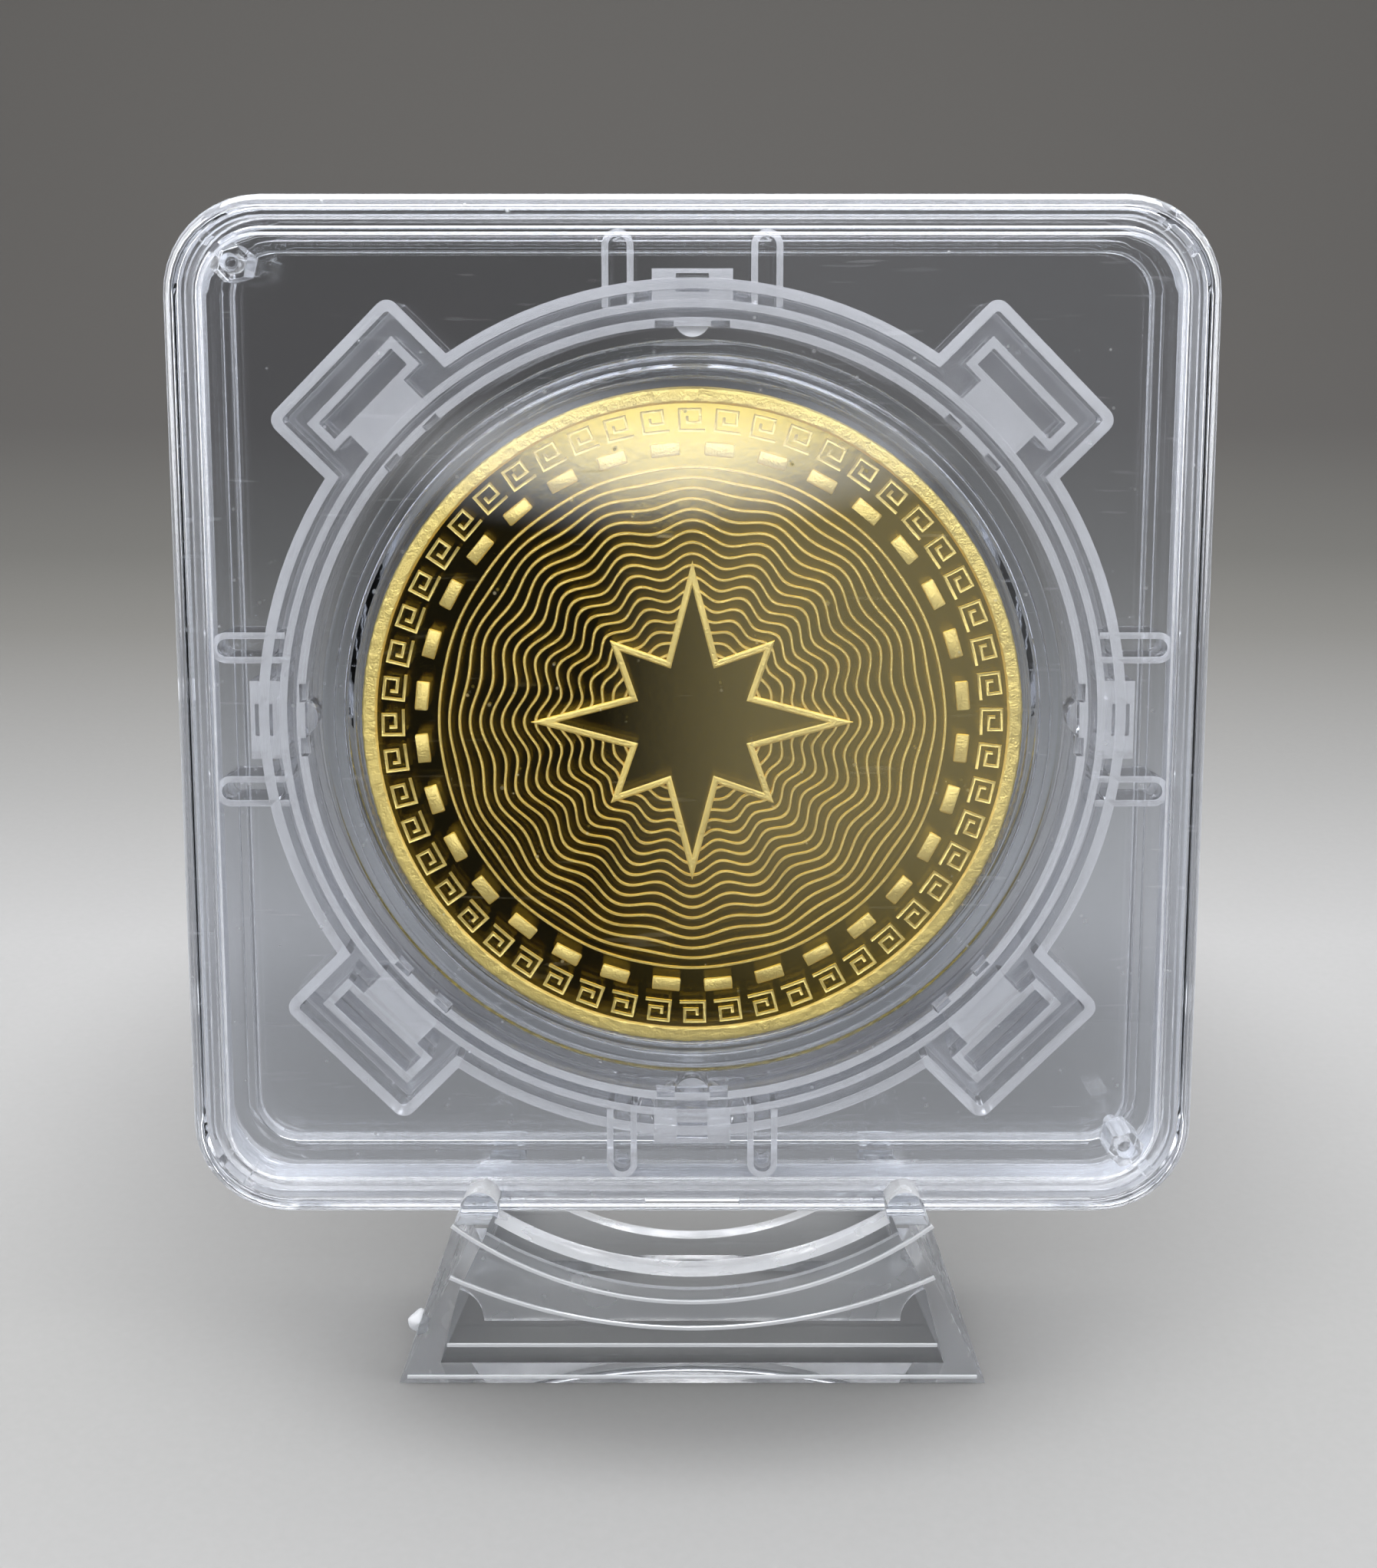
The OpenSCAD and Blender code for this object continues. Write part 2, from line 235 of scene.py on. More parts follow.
def corner_strip(bm, corners, start, arc_steps=8):
    """Sweeps a closed chain of (inset, height) corners round three sides' worth of corner:
    from one gap past a corner to the gap before the opposite one."""
    radius = bpy.context.scene.slab_case.corner_r
    mid = HALF - radius
    turn = Matrix.Rotation(start, 3, "Z")
    gap = math.asin(TONGUE_GAP / (radius - TONGUE[0]))
    pivot = Vector((mid, mid, 0))
    arm = Matrix.Rotation(math.pi / 4 + gap, 3, "Z")
    points = [turn @ (pivot + arm @ Vector((radius - inset, 0, 0)) + Vector((0, 0, z)))
              for inset, z in softened(corners, closed=True)]
    edges = chain(bm, points, closed=True)
    first = list(edges)
    edges = turned(bm, edges, turn @ pivot, math.pi / 4 - gap, arc_steps // 2)
    edges = pushed(bm, edges, turn @ Vector((-2 * mid, 0, 0)))
    edges = turned(bm, edges, turn @ Vector((-mid, mid, 0)), math.pi / 2, arc_steps)
    edges = pushed(bm, edges, turn @ Vector((0, -2 * mid, 0)))
    last = turned(bm, edges, turn @ -pivot, math.pi / 4 - gap, arc_steps // 2)
    bmesh.ops.contextual_create(bm, geom=first)
    bmesh.ops.contextual_create(bm, geom=last)


def bevelled(bm, edges, radius, segments=2):
    """Rounds edges, and returns what the operator made."""
    return bmesh.ops.bevel(bm, geom=edges, offset=radius, offset_type="OFFSET",
                           segments=segments, profile=0.5, affect="EDGES", material=-1,
                           clamp_overlap=True)


def block(bm, size, place, soft):
    """A box of the given size about a place, with its edges bevelled."""
    made = bmesh.ops.create_cube(bm, size=1)["verts"]
    bmesh.ops.scale(bm, vec=size, verts=made)
    edges = list(dict.fromkeys(e for v in made for e in v.link_edges))
    made = bevelled(bm, edges, soft)["verts"]
    return placed(bm, made, place)


def bead(bm, radius, place, squash):
    """A small ball, flattened by squash along z."""
    made = bmesh.ops.create_icosphere(bm, subdivisions=3, radius=radius)["verts"]
    bmesh.ops.scale(bm, vec=(1, 1, squash), verts=made)
    return placed(bm, made, place)


def painted(verts, index):
    """Gives the faces at these vertices a material."""
    for face in {f for v in verts for f in v.link_faces}:
        face.material_index = index


def object_of(name, bm, recalculate=True):
    """An object, still in the slab's frame, from a bmesh."""
    if recalculate:
        bmesh.ops.recalc_face_normals(bm, faces=bm.faces)
    mesh = bpy.data.meshes.new(name)
    bm.to_mesh(mesh)
    bm.free()
    piece = bpy.data.objects.new(name, mesh)
    bpy.context.scene.collection.objects.link(piece)
    return piece


def combined(piece, others, operation):
    """Applies a boolean with each of the other objects, which are then removed."""
    reach = piece.dimensions.copy()
    for other in others:
        step = piece.modifiers.new("Combine", "BOOLEAN")
        step.operation, step.object, step.solver = operation, other, "EXACT"
        shown = piece.evaluated_get(bpy.context.evaluated_depsgraph_get())
        mesh = bpy.data.meshes.new_from_object(shown)
        piece.modifiers.remove(step)
        piece.data = mesh
        bpy.data.objects.remove(other)
    bpy.context.view_layer.update()
    if (piece.dimensions - reach).length > 0.1 * reach.length:
        raise RuntimeError(f"a boolean lost part of {piece.name}")
    return piece


def finished(piece, finishes, body, nodes=(), sharp=32.0, even=True, clear=False):
    """Places a piece, smooths its shading, parents it to what it rides on and hides the CAD nodes
    that it stands for. A clear piece casts no shadow, so the light that it bends still reaches what
    is behind it."""
    mesh = piece.data
    piece.visible_shadow = not clear
    mesh.transform(SLAB)
    mesh.shade_smooth()
    mesh.set_sharp_from_angle(angle=math.radians(sharp))
    for index, finish in enumerate(finishes):
        if index < len(mesh.materials):
            mesh.materials[index] = finish_named(finish)
        else:
            mesh.materials.append(finish_named(finish))
    if even:
        shading = piece.modifiers.new("Even shading", "WEIGHTED_NORMAL")
        shading.keep_sharp = True
    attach(piece, body)
    if nodes:
        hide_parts(*nodes)
    return piece


def upright_edges(bm, reach, convex):
    """Sharp edges along z that stand further out than reach."""
    return [e for e in bm.edges
            if e.is_manifold and e.is_convex == convex and e.calc_face_angle(0) > 1.2
            and abs((e.verts[0].co - e.verts[1].co).normalized().z) > 0.99
            and e.verts[0].co.xy.length > reach]


def moulded_copy(node, soft, rounds=(), flat_angle=0.4, sharp=40.0):
    """A merged copy of a CAD node in the slab's frame, with its sharp edges rounded. The
    rounded edges get material 2. rounds lists (reach, convex, radius) of upright corners."""
    bm = bmesh.new()
    bm.from_mesh(frame["nodes"][node].data)
    bmesh.ops.transform(bm, matrix=SLAB.inverted(), verts=bm.verts)
    bmesh.ops.remove_doubles(bm, verts=bm.verts, dist=0.003)
    bmesh.ops.dissolve_limit(bm, angle_limit=math.radians(flat_angle), verts=bm.verts,
                             edges=bm.edges, use_dissolve_boundaries=False)
    for reach, convex, radius in rounds:
        bevelled(bm, upright_edges(bm, reach, convex), radius, 5)
    edges = [e for e in bm.edges
             if e.is_manifold and e.calc_face_angle(0) > math.radians(sharp)]
    for face in bevelled(bm, edges, soft)["faces"]:
        face.material_index = 2
    bmesh.ops.dissolve_degenerate(bm, dist=0.0005, edges=bm.edges)
    return bm


# ---------------------------------------------------------------- materials


def add_node(tree, kind, inputs=None, **settings):
    """Adds a node, sets it, and fills its inputs with values or other nodes' outputs."""
    made = tree.nodes.new(kind)
    for name, value in settings.items():
        setattr(made, name, value)
    for name, value in (inputs or {}).items():
        if isinstance(value, bpy.types.NodeSocket):
            tree.links.new(value, made.inputs[name])
        else:
            made.inputs[name].default_value = value
    return made


def per_mm(spacing):
    """The texture scale that gives a pattern this spacing in millimetres."""
    return 1 / (spacing * MM)


def new_material(name):
    """An empty node material, with its tree, output and object coordinates."""
    material = bpy.data.materials.new(name)
    material.use_nodes = True
    tree = material.node_tree
    tree.nodes.clear()
    out = add_node(tree, "ShaderNodeOutputMaterial")
    where = add_node(tree, "ShaderNodeTexCoord").outputs["Object"]
    return material, tree, out, where


def clear_plastic(name, tint, ior, polish, haze, flow=7.0, ripple=0.000004, specks=2.6):
    """Injection-moulded clear plastic. Melt flow leaves a faint ripple in its surface, handling
    leaves short hairline scratches, and dust leaves dull specks: all of them are rougher spots."""
    material, tree, out, where = new_material(name)
    waves = add_node(tree, "ShaderNodeTexNoise", {
        "Vector": where, "Scale": per_mm(flow), "Detail": 2.0, "Roughness": 0.45})
    cells = add_node(tree, "ShaderNodeTexVoronoi", {"Vector": where, "Scale": per_mm(specks)})
    dust = add_node(tree, "ShaderNodeMapRange", {
        "Value": cells.outputs["Distance"], "From Min": 0.03, "From Max": 0.06,
        "To Min": 1.0, "To Max": 0.0})
    slant = add_node(tree, "ShaderNodeMapping", {
        "Vector": where, "Rotation": (0.3, 0.2, 0.7), "Scale": (0.09, 1.0, 1.0)})
    hairs = add_node(tree, "ShaderNodeTexNoise", {
        "Vector": slant.outputs["Vector"], "Scale": per_mm(0.55), "Detail": 1.0})
    lines = add_node(tree, "ShaderNodeMapRange", {
        "Value": hairs.outputs["Fac"], "From Min": 0.72, "From Max": 0.76,
        "To Min": 0.0, "To Max": 0.5})
    marks = add_node(tree, "ShaderNodeMath", {
        0: dust.outputs["Result"], 1: lines.outputs["Result"]}, operation="MAXIMUM")
    rough = add_node(tree, "ShaderNodeMapRange", {
        "Value": marks.outputs["Value"], "To Min": polish, "To Max": haze})
    relief = add_node(tree, "ShaderNodeBump", {
        "Height": waves.outputs["Fac"], "Strength": 1.0, "Distance": ripple})
    shader = add_node(tree, "ShaderNodeBsdfPrincipled", {
        "Base Color": colour(tint), "Transmission Weight": 1.0, "IOR": ior,
        "Roughness": rough.outputs["Result"], "Normal": relief.outputs["Normal"]})
    tree.links.new(shader.outputs["BSDF"], out.inputs["Surface"])
    return material


def frosted_plastic(name, tint, ior, roughness, milk, grain=0.25, depth=0.00001):
    """Plastic left dull by an etched mould: it passes light, and scatters part of it white."""
    material, tree, out, where = new_material(name)
    etch = add_node(tree, "ShaderNodeTexNoise", {
        "Vector": where, "Scale": per_mm(grain), "Detail": 3.0, "Roughness": 0.6})
    relief = add_node(tree, "ShaderNodeBump", {
        "Height": etch.outputs["Fac"], "Strength": 0.6, "Distance": depth})
    patch = add_node(tree, "ShaderNodeTexNoise", {
        "Vector": where, "Scale": per_mm(3.0), "Detail": 2.0})
    dull = add_node(tree, "ShaderNodeMapRange", {
        "Value": patch.outputs["Fac"], "From Min": 0.3, "From Max": 0.7,
        "To Min": roughness * 0.6, "To Max": roughness * 1.3})
    shader = add_node(tree, "ShaderNodeBsdfPrincipled", {
        "Base Color": colour(tint), "Transmission Weight": 1.0 - milk, "IOR": ior,
        "Roughness": dull.outputs["Result"], "Normal": relief.outputs["Normal"]})
    tree.links.new(shader.outputs["BSDF"], out.inputs["Surface"])
    return material


def gilt_metal(name, tint, roughness, grain, depth, wear):
    """Gold plating over struck brass: a mirror in the field, and a fine grain where the die was
    blasted. Its polish varies a little over a few millimetres."""
    material, tree, out, where = new_material(name)
    cloud = add_node(tree, "ShaderNodeTexNoise", {
        "Vector": where, "Scale": per_mm(4.0), "Detail": 4.0, "Roughness": 0.6})
    rough = add_node(tree, "ShaderNodeMapRange", {
        "Value": cloud.outputs["Fac"], "From Min": 0.3, "From Max": 0.7,
        "To Min": roughness, "To Max": roughness + wear})
    grit = add_node(tree, "ShaderNodeTexNoise", {
        "Vector": where, "Scale": per_mm(grain), "Detail": 3.0, "Roughness": 0.65})
    relief = add_node(tree, "ShaderNodeBump", {
        "Height": grit.outputs["Fac"], "Strength": 1.0, "Distance": depth})
    shader = add_node(tree, "ShaderNodeBsdfPrincipled", {
        "Base Color": colour(tint), "Metallic": 1.0,
        "Roughness": rough.outputs["Result"], "Normal": relief.outputs["Normal"]})
    tree.links.new(shader.outputs["BSDF"], out.inputs["Surface"])
    return material


# How each finish is made: its function, its tint, its refractive index (a metal keeps the
# default one) and its own settings.
FINISHES = {
    "polished_styrene": (clear_plastic, "case_tint", "styrene_ior",
                         {"polish": 0.0, "haze": 0.35}),
    "easel_styrene": (clear_plastic, "easel_tint", "styrene_ior",
                      {"polish": 0.0, "haze": 0.12, "flow": 9.0}),
    "capsule_acrylic": (clear_plastic, "capsule_tint", "acrylic_ior",
                        {"polish": 0.0, "haze": 0.3, "specks": 3.4}),
    "insert_styrene": (clear_plastic, "insert_tint", "styrene_ior",
                       {"polish": 0.03, "haze": 0.4, "flow": 2.5, "ripple": 0.00001}),
    # Painted highlight: the insert's milky wall tops and its nearly white rounded edges stand in
    # for the light that its clear walls carry. The same white edge finish also colours the shells'
    # torn notch and gate scar.
    "top_painted_highlight_styrene": (frosted_plastic, "insert_tint", "styrene_ior",
                        {"roughness": 0.2, "milk": 0.24}),
    "hazy_styrene": (frosted_plastic, "insert_tint", "styrene_ior",
                     {"roughness": 0.14, "milk": 0.08}),
    "white_mark_and_painted_highlight_styrene": (frosted_plastic, "insert_tint", "styrene_ior",
                     {"roughness": 0.15, "milk": 0.95}),
    # Painted light: the walls' milky white stands in for the light that the clear walls carry round
    # the rim.
    "wall_painted_light_styrene": (frosted_plastic, "case_tint", "styrene_ior",
                     {"roughness": 0.06, "milk": 0.14}),
    "etched_easel": (frosted_plastic, "easel_tint", "styrene_ior",
                     {"roughness": 0.25, "milk": 0.3}),
    "edge_easel": (frosted_plastic, "easel_tint", "styrene_ior",
                   {"roughness": 0.15, "milk": 0.45}),
    "polished_gilt": (gilt_metal, "gilt", None,
                      {"roughness": 0.015, "grain": 0.9, "depth": 0.000002, "wear": 0.03}),
    "frosted_gilt": (gilt_metal, "frosted_gilt", None,
                     {"roughness": 0.28, "grain": 0.13, "depth": 0.00005, "wear": 0.14}),
}


def finish_named(name):
    """Makes each finish once, and returns it by name."""
    if name in bpy.data.materials:
        return bpy.data.materials[name]
    tones = bpy.context.scene.slab_finish
    make, tint, ior, settings = FINISHES[name]
    if ior:
        settings = {"ior": getattr(tones, ior), **settings}
    return make(name, getattr(tones, tint), **settings)


# ---------------------------------------------------------------- the case


# Walls are (outer, inner) insets from the case's side, and tops and ends are heights.
TONGUE = (0.82, 1.18)
TONGUE_TOP = 2.0
TONGUE_GAP = 2.2
SECOND_WALL = (1.26, 1.74)
SECOND_END = -0.5
THIRD_WALL = (2.35, 3.0)
THIRD_TOP = -1.25
OUTER_WALL = 0.75
LEDGE = -0.4
POST_AT = HALF - 3.75
WINDOW_START = 3.4
WALL_ZONE = (0.7, 5.5)
NOTCH_SIZE = (5.8, 1.3, 1.8)
NOTCH_ZONE = (2.95, (0.1, 0.4), 1.0)
GATE_MARK_SIZE = (0.24, 1.3, 0.8)
GATE_MARK = (-HALF + 0.13, 1.6, 0.75)


def outer_skin(case):
    """The section that both shells share, from window to seam, at the front shell's heights."""
    plate_out = case.face - case.rim_h
    return [(WINDOW_START, plate_out), (case.rim_w + 0.06, plate_out, 0.08),
            (case.rim_w - 0.02, case.face, 0.1), (0, case.face, case.edge_r),
            (0, case.seam, case.small_r)]


def finish_shell(shell, node):
    """Gives the walls inside a shell their duller, milky finish, whose white is painted light
    standing in for the light carried along the walls, and the notch its torn white one, and
    finishes the shell in place of its CAD node."""
    wide, (low, high), deep = NOTCH_ZONE
    for face in shell.data.polygons:
        middle = face.center
        inset = HALF - max(abs(middle.x), abs(middle.y))
        if low < middle.y + HALF < high and abs(middle.x) < wide and abs(middle.z) < deep:
            face.material_index = 2
        # Painted light: the inner walls get the milky wall finish that whitens them.
        elif (WALL_ZONE[0] < inset < WALL_ZONE[1] and abs(face.normal.z) < 0.7
              and face.material_index == 0):
            face.material_index = 1
    finished(shell, ("polished_styrene", "wall_painted_light_styrene", "white_mark_and_painted_highlight_styrene"), node,
             [node], clear=True)


def add_gate_mark(shell):
    """Adds the small white scar where the moulding gate was broken off the left edge."""
    bm = bmesh.new()
    bm.from_mesh(shell.data)
    painted(block(bm, GATE_MARK_SIZE, GATE_MARK, 0.1), 2)
    bm.to_mesh(shell.data)
    bm.free()


class SLAB_OT_case_front(bpy.types.Operator):
    """Builds the front shell: window, rim, double wall, two snap sockets and four pry ribs"""

    bl_idname = "slab.case_front"
    bl_label = "Front shell"

    def execute(self, context):
        case = context.scene.slab_case
        cavity = case.face - case.rim_h - case.plate_t
        soft = case.small_r
        bm = bmesh.new()
        round_case(bm, outer_skin(case) + [
            (OUTER_WALL, case.seam, soft), (OUTER_WALL, cavity, soft),
            (SECOND_WALL[0], cavity, soft), (SECOND_WALL[0], SECOND_END, soft),
            (SECOND_WALL[1], SECOND_END, soft), (SECOND_WALL[1], cavity, 2 * soft),
            (WINDOW_START, cavity)])
        shell = object_of("case_front_shell", bm)
        fittings = [snap_socket(side, cavity) for side in (-1, 1)]
        fittings += [socket_gusset(side, cavity) for side in (-1, 1)]
        fittings += [pry_rib(side, row, cavity) for side in (-1, 1) for row in (-1, 1)]
        combined(shell, fittings, "UNION")
        combined(shell, [pry_notch()], "DIFFERENCE")
        add_gate_mark(shell)
        finish_shell(shell, "case_front")
        return {"FINISHED"}


def snap_socket(side, cavity):
    """A hexagonal socket in the top-left or bottom-right corner."""
    bore, across, end = 0.55, 1.15, -0.5
    bm = bmesh.new()
    lathe(bm, [(bore, end, 0.05), (across, end, 0.08), (across, cavity + 0.2),
               (bore, cavity + 0.2)], 24, closed=True)
    flat = across * math.cos(math.pi / 6)
    for vert in bm.verts:
        reach = math.hypot(vert.co.x, vert.co.y)
        if reach > (bore + flat) / 2:
            angle = math.atan2(vert.co.y, vert.co.x) % (math.pi / 3) - math.pi / 6
            vert.co.xy *= flat / math.cos(angle) / across
    placed(bm, bm.verts, (side * POST_AT, -side * POST_AT, 0), math.radians(15))
    return object_of("snap_socket", bm)


def socket_gusset(side, cavity):
    """The web that ties a socket to the corner of the second wall."""
    low, high = 0.6, cavity + 0.15
    long, thick, out = 1.3, 0.7, 1.45
    bm = bmesh.new()
    block(bm, (long, thick, high - low), (out, 0, (low + high) / 2), 0.06)
    placed(bm, bm.verts, (side * POST_AT, -side * POST_AT, 0),
           math.radians(135 if side < 0 else 315))
    return object_of("socket_gusset", bm)


def pry_rib(side, row, cavity):
    """One of the ribs that stiffen the opening corners, top right and bottom left."""
    mid = HALF - bpy.context.scene.slab_case.corner_r
    reach = mid * math.sqrt(2) + bpy.context.scene.slab_case.corner_r
    inner, outer = reach - SECOND_WALL[0] - 0.1, reach - OUTER_WALL + 0.15
    thick, apart = 0.55, 1.05
    bm = bmesh.new()
    block(bm, (outer - inner, thick, cavity - 0.4),
          ((outer + inner) / 2, row * apart, (cavity + 0.6) / 2), 0.06)
    placed(bm, bm.verts, turn=math.radians(45 if side > 0 else 225))
    return object_of("pry_rib", bm)


def pry_notch():
    """The cutter of the shallow opening notch in the bottom edge."""
    bm = bmesh.new()
    block(bm, NOTCH_SIZE, (0, -HALF - 0.35, 0), 0.12)
    return object_of("pry_notch", bm)


class SLAB_OT_case_back(bpy.types.Operator):
    """Builds the back shell: window, rim, ledge, snap tongue, inner wall and two pins"""

    bl_idname = "slab.case_back"
    bl_label = "Back shell"

    def execute(self, context):
        case = context.scene.slab_case
        cavity = case.face - case.rim_h - case.plate_t
        soft = case.small_r
        bm = bmesh.new()
        skin = [(corner[0], -corner[1], *corner[2:]) for corner in outer_skin(case)]
        round_case(bm, skin + [
            (OUTER_WALL, -case.seam, soft), (OUTER_WALL + 0.02, LEDGE),
            (TONGUE[1], LEDGE, soft), (TONGUE[1], -cavity, soft),
            (THIRD_WALL[0], -cavity, soft), (THIRD_WALL[0], THIRD_TOP, soft),
            (THIRD_WALL[1], THIRD_TOP, soft), (THIRD_WALL[1], -cavity, soft),
            (WINDOW_START, -cavity)])
        shell = object_of("case_back_shell", bm)
        fittings = [snap_pin(side, cavity) for side in (-1, 1)]
        fittings += [tongue(start) for start in (0, math.pi)]
        combined(shell, fittings, "UNION")
        finish_shell(shell, "case_back")
        return {"FINISHED"}


def snap_pin(side, cavity):
    """A pin of the back shell that snaps into a socket, with a lead-in at its tip."""
    bm = bmesh.new()
    lathe(bm, [(0, 2.0), (0.45, 2.0, 0.2), (0.45, -cavity - 0.2), (0, -cavity - 0.2)], 24)
    bmesh.ops.translate(bm, vec=(side * POST_AT, -side * POST_AT, 0), verts=bm.verts)
    return object_of("snap_pin", bm)


def tongue(start):
    """Half of the snap tongue that stands up from the ledge."""
    bm = bmesh.new()
    outer, inner, foot = TONGUE[0], TONGUE[1] - 0.01, LEDGE - 0.15
    corner_strip(bm, [(outer, foot), (outer, TONGUE_TOP, 0.1), (inner, TONGUE_TOP, 0.1),
                      (inner, foot)], start)
    return object_of("tongue", bm)


# ---------------------------------------------------------------- the insert, capsule and easel


LUG_ROUNDS = [(29.7, True, 0.75), (29.1, False, 0.25)]
TAB_ZONE = (1.15, (21.9, 22.9))
HALF_CAPSULE = 2.65
CAPSULE_SKIN = 1.1
CAPSULE_SEAM = 0.03
PANEL_ZONE = (14.8, (-37.7, -35.05), (4.2, 5.1))
PANEL_RISE = 1.25
EASEL_FRONT = 7.4
EASEL_ARCS = [(-10.66, 23.6, 37.0), (-1.9, 34.0, 25.0)]
EASEL_LINES = [(-36.95, 14.6), (-38.95, 17.0)]
EASEL_GATE = (-16.3, -35.9, 6.3)


class SLAB_OT_insert_ring(bpy.types.Operator):
    """Builds the insert ring, with rounded edges and dull tops on its walls, whose milky white is a
    painted highlight
    """

    bl_idname = "slab.insert_ring"
    bl_label = "Insert ring"

    def execute(self, context):
        bm = moulded_copy("insert_ring", 0.09, LUG_ROUNDS)
        bm.normal_update()
        top = max(v.co.z for v in bm.verts)
        wide, (low, high) = TAB_ZONE
        # Painted highlight: the tab and the wall tops get milky white finishes, as the rounded
        # edges did in moulded_copy.
        for face in bm.faces:
            middle = face.calc_center_median()
            if abs(middle.x) < wide and low < middle.y < high:
                face.material_index = 2
            elif face.material_index == 0 and abs(face.normal.z) > 0.9:
                face.material_index = 1 if abs(middle.z) > top - 0.3 else 3
        ring = object_of("insert_ring_moulding", bm, recalculate=False)
        finished(ring, ("insert_styrene", "top_painted_highlight_styrene", "white_mark_and_painted_highlight_styrene", "hazy_styrene"),
                 "insert_ring", ["insert_ring"])
        return {"FINISHED"}


class SLAB_OT_capsule(bpy.types.Operator):
    """Builds the round capsule: the cup that holds the coin, and its lid"""

    bl_idname = "slab.capsule"
    bl_label = "Capsule"

    def execute(self, context):
        cavity, wall, fit, flange = 19.85, 0.55, 0.15, 0.9
        cup_r, lid_in = cavity + wall, cavity + wall + fit
        lid_r = lid_in + wall
        face, seam, floor = HALF_CAPSULE, CAPSULE_SEAM, HALF_CAPSULE - CAPSULE_SKIN
        bm = bmesh.new()
        lathe(bm, [(0, -face), (cup_r, -face, 0.3), (cup_r, -flange, 0.12),
                   (CAPSULE_R, -flange, 0.2), (CAPSULE_R, -seam, 0.08), (cup_r, -seam, 0.08),
                   (cup_r, floor - 0.1, 0.12), (cavity, floor - 0.1, 0.12), (cavity, -floor, 0.2),
                   (0, -floor)], 192)
        finished(object_of("capsule_cup", bm), ["capsule_acrylic"], "capsule_base",
                 ["capsule_base"], clear=True)
        bm = bmesh.new()
        lathe(bm, [(0, face), (lid_r, face, 0.3), (lid_r, flange, 0.12),
                   (CAPSULE_R, flange, 0.2), (CAPSULE_R, seam, 0.08), (lid_in, seam, 0.08),
                   (lid_in, floor, 0.2), (0, floor)], 192)
        finished(object_of("capsule_cover", bm), ["capsule_acrylic"], "capsule_lid",
                 ["capsule_lid"], clear=True)
        return {"FINISHED"}


class SLAB_OT_easel(bpy.types.Operator):
    """Builds the easel with rounded edges, and dull tops on its two arcs and its panel"""

    bl_idname = "slab.easel"
    bl_label = "Easel"

    def execute(self, context):
        bm = moulded_copy("stand", 0.18)
        bm.normal_update()
        for face in bm.faces:
            middle = face.calc_center_median()
            arc_top = face.normal.y > 0.3 and middle.y < -HALF + 3
            panel = face.normal.z < -0.9 and 4.0 < middle.z < 4.6
            if arc_top or panel:
                face.material_index = 1
        wide, (low, high), (near, far) = PANEL_ZONE
        for vert in bm.verts:
            if abs(vert.co.x) < wide and low < vert.co.y < high and near < vert.co.z < far:
                vert.co.y += PANEL_RISE
        easel_ridges(bm)
        gate = bead(bm, 0.62, EASEL_GATE, 0.9)
        noise.seed_set(7)  # the clock would seed noise_vector otherwise
        for vert in gate:
            vert.co += 0.3 * noise.noise_vector(vert.co * 1.3)
        painted(gate, 1)
        easel = object_of("easel_moulding", bm, recalculate=False)
        finished(easel, ("easel_styrene", "etched_easel", "edge_easel"), "stand",
                 ["stand"])
        return {"FINISHED"}


def easel_ridges(bm):
    """The fine moulded ridges of the front plate: two arcs (centre height, radius, half angle in
    degrees) and two straight lines (height, half length)."""
    for centre, radius, reach in EASEL_ARCS:
        start = Matrix.Rotation(math.radians(-90 - reach), 3, "Z")
        outline = [Vector((radius + x, 0, EASEL_FRONT + z))
                   for x, z in softened([(-0.16, -0.08), (-0.1, 0.09, 0.03), (0.1, 0.09, 0.03),
                                         (0.16, -0.08)], closed=True)]
        edges = chain(bm, [start @ p + Vector((0, centre, 0)) for p in outline], closed=True)
        first = list(edges)
        last = turned(bm, edges, Vector((0, centre, 0)), math.radians(2 * reach), 48)
        caps = bmesh.ops.contextual_create(bm, geom=first)["faces"]
        caps += bmesh.ops.contextual_create(bm, geom=last)["faces"]
        shell = {f for cap in caps for v in cap.verts for f in v.link_faces}
        while grown := {f for face in shell for v in face.verts for f in v.link_faces} - shell:
            shell |= grown
        bmesh.ops.recalc_face_normals(bm, faces=list(shell))
        painted({v for f in shell for v in f.verts}, 2)
    for height, reach in EASEL_LINES:
        painted(block(bm, (2 * reach, 0.24, 0.16), (0, height, EASEL_FRONT), 0.05), 2)


# ---------------------------------------------------------------- the coin


STAR_VALLEY = 0.42
STAR_SHORT = 0.72
BAR_SIZE = (0.78, 1.7, 0.3)
BAR_RING = 0.82
KEY_RING = 0.905
KEY_PATH = [(-4, -5), (-4, 5), (4, 5), (4, -3), (-1, -3), (-1, 2), (1.5, 2)]
KEY_UNIT = 0.15
KEY_STROKE = 0.17


def dish(radius):
    """How far the field has risen at a radius: it is flat in the middle and dished beyond."""
    return 0.001 * max(0.0, radius - 11.0) ** 2


def settle(bm):
    """Moves what was modelled about the slab's axis down to where the coin lies."""
    bmesh.ops.translate(bm, vec=(0, -COIN_DROP, 0), verts=bm.verts)


def struck(name, bm, finishes=("frosted_gilt",), sharp=60):
    """Repeats on the coin's back what was modelled on its front, and finishes the piece."""
    copied = bmesh.ops.duplicate(bm, geom=bm.verts[:] + bm.edges[:] + bm.faces[:])["geom"]
    placed(bm, of_kind(copied, BMVert), turn=math.pi, axis="Y")
    settle(bm)
    finished(object_of(name, bm), finishes, "coin", sharp=sharp, even=False)


